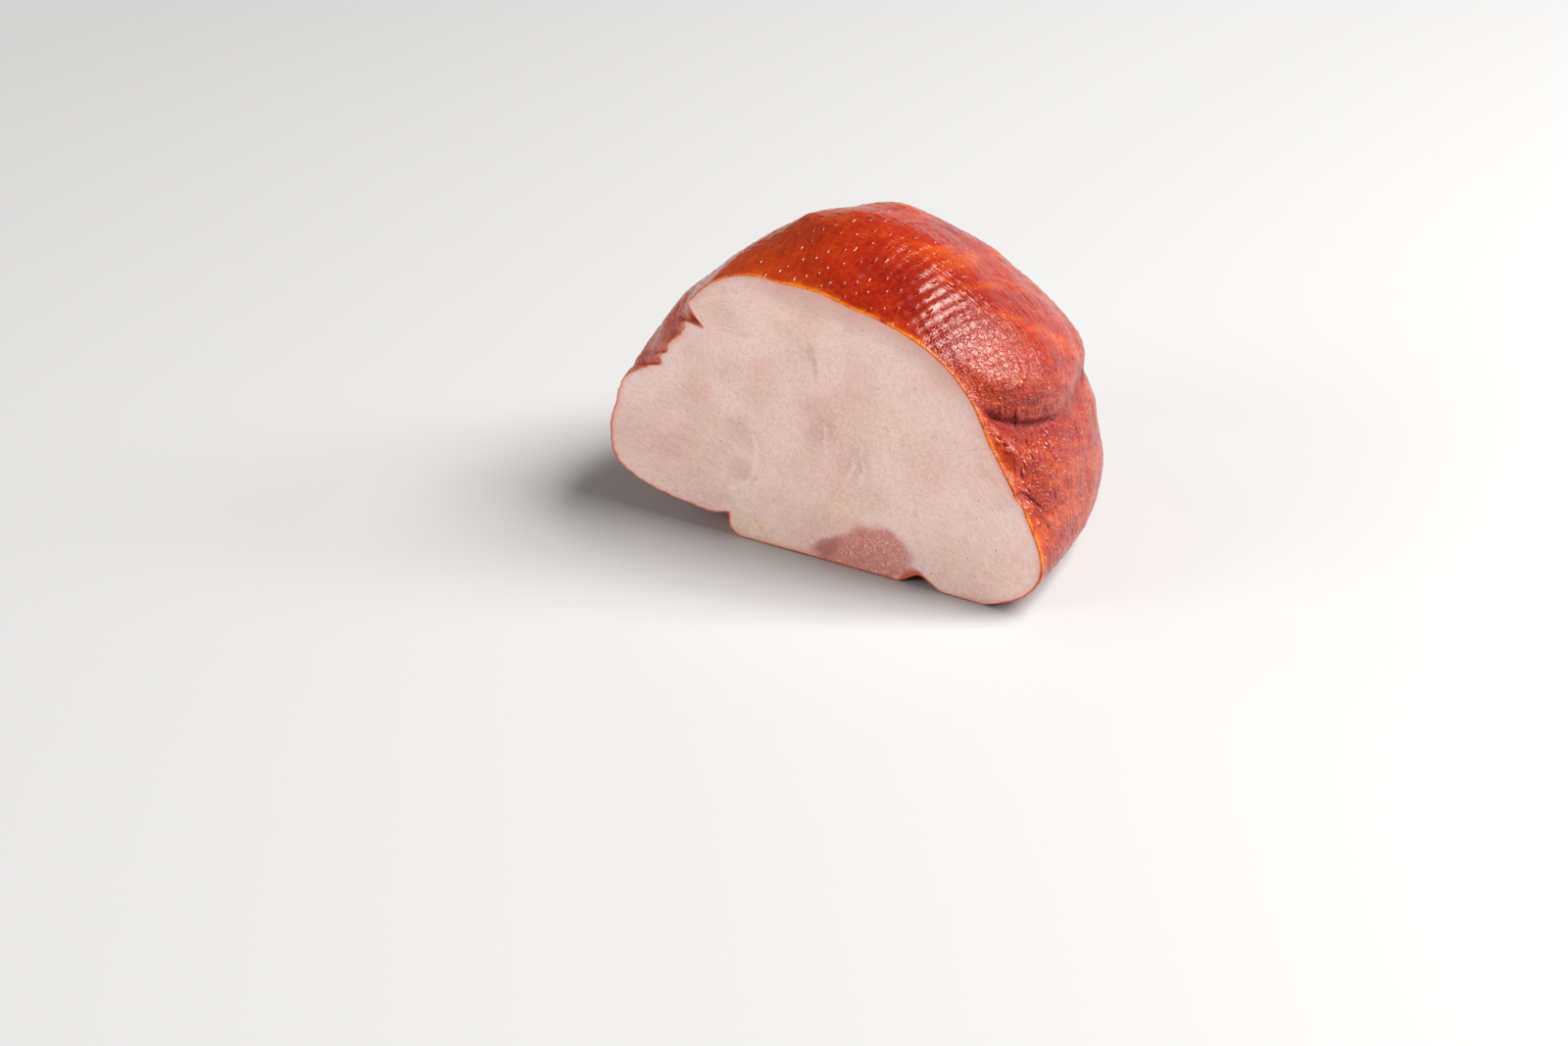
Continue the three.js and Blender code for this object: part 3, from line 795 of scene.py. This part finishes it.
    # a blush towards the edge, and the rind, thicker at the left and below than at the top right
    blush = (1 - g.step(inside + g.noise(p, 5, 2) * 1.5, 0.8, 4.5)) * (1 - redMuscle * 0.8)
    colour = g.blend(blush * 0.6, colour, look["blush"])
    thick = 0.7 - topEdge * 0.4 + g.noise(p, 2.5, 2) * 0.5
    for x, z, wide, more in rindThick:
        thick = thick + patchMask(g, p, x, z, wide, wide, 0, 0.6) * more
    colour = g.blend((1 - g.step(inside / thick, 0.35, 1.15)) * 0.9, colour, look["rind"])
    height = fibre * look["fibreHigh"] + g.noise(p, 3, 2) * look["unevenHigh"] - pore * look["poreDeep"]
    return g.finish({
        "Base Color": colour, "Roughness": look["roughness"], "Normal": g.bump(height, 0.6),
        "Coat Weight": look["coat"], "Coat Roughness": look["coatRoughness"], "IOR": look["ior"],
        "Subsurface Weight": look["glow"], "Subsurface Radius": look["glowTint"],
        "Subsurface Scale": look["glowReach"]})


# The floor and the light from all round.
stageLook = {
    "floorSize": 6, "floor": screen(185, 184, 183), "floorTone": screen(175, 174, 173),
    "world": screen(240, 242, 245), "worldStrength": 0.1,
}

# Where the camera stands, as the photograph was taken: degrees round and up, what it looks at, how
# far off, and its lens.
view = {"azimuth": 32.2, "elevation": 26.0, "aim": (-20.1, -52.9, 4.5), "distance": 1325.5, "lens": 85}

# Soft lights: the way they come from, how far off, size in m and power.
lights = {
    "key": {"from": (0.53, 0.24, 0.8), "distance": 2.2, "size": (1.3, 1.3), "power": 100},
    "left": {"from": (-0.92, -0.1, 0.32), "distance": 2.0, "size": (1.0, 1.0), "power": 5},
    "right": {"from": (0.78, 0.45, 0.42), "distance": 2.4, "size": (0.6, 0.6), "power": 21},
    "back": {"from": (-0.1, 1.0, 0.12), "distance": 1.6, "size": (2.0, 0.5), "power": 2},
    "front": {"from": (-0.55, -0.8, 0.3), "distance": 2.2, "size": (1.3, 1.3), "power": 26},
}


# A unit vector from its azimuth and elevation: azimuth 0 stands at -Y.
def towards(azimuth, elevation):
    a, e = np.radians([azimuth, elevation])
    return Vector((np.sin(a) * np.cos(e), -np.cos(a) * np.cos(e), np.sin(e)))


# A pale flat floor, a square about the origin.
def makeFloor():
    g = Nodes("paleFloor")
    tint = g.blend(g.noise(g.place(), 180, 2) * 0.06, stageLook["floor"], stageLook["floorTone"])
    material = g.finish({"Base Color": tint, "Roughness": 0.7})
    half = stageLook["floorSize"] / 2
    corners = [(-half, -half, 0), (half, -half, 0), (half, half, 0), (-half, half, 0)]
    mesh = bpy.data.meshes.new("floor")
    mesh.from_pydata(corners, [], [(0, 1, 2, 3)])
    mesh.materials.append(material)
    floor = bpy.data.objects.new("floor", mesh)
    bpy.context.scene.collection.objects.link(floor)


# The world's pale light, and soft area lights that face the ham.
def makeLights():
    world = bpy.data.worlds.new("studio")
    bpy.context.scene.world = world
    world.use_nodes = True
    background = world.node_tree.nodes["Background"]
    background.inputs["Color"].default_value = stageLook["world"]
    background.inputs["Strength"].default_value = stageLook["worldStrength"]
    for name, light in lights.items():
        data = bpy.data.lights.new(name, "AREA")
        data.shape = "RECTANGLE"
        data.size, data.size_y = light["size"]
        data.energy = light["power"]
        lamp = bpy.data.objects.new(name, data)
        way = Vector(light["from"]).normalized()
        lamp.location = way * light["distance"] + Vector((0, 0, 0.05))
        lamp.rotation_euler = way.to_track_quat("Z", "Y").to_euler()
        bpy.context.scene.collection.objects.link(lamp)


# The camera looks back along the way it stands from what it aims at.
def makeCamera():
    way = towards(view["azimuth"], view["elevation"])
    data = bpy.data.cameras.new("camera")
    data.lens = view["lens"]
    data.sensor_width = 36
    camera = bpy.data.objects.new("camera", data)
    camera.location = Vector(view["aim"]) * mm + way * view["distance"] * mm
    camera.rotation_euler = way.to_track_quat("Z", "Y").to_euler()
    bpy.context.scene.collection.objects.link(camera)
    bpy.context.scene.camera = camera


piece = makeHam(skinMaterial(), meatMaterial())
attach(piece, "root")
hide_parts("leg_ham")
print("stage: floor, lights and camera")
makeFloor()
makeLights()
makeCamera()
bpy.context.scene.view_settings.view_transform = "Standard"
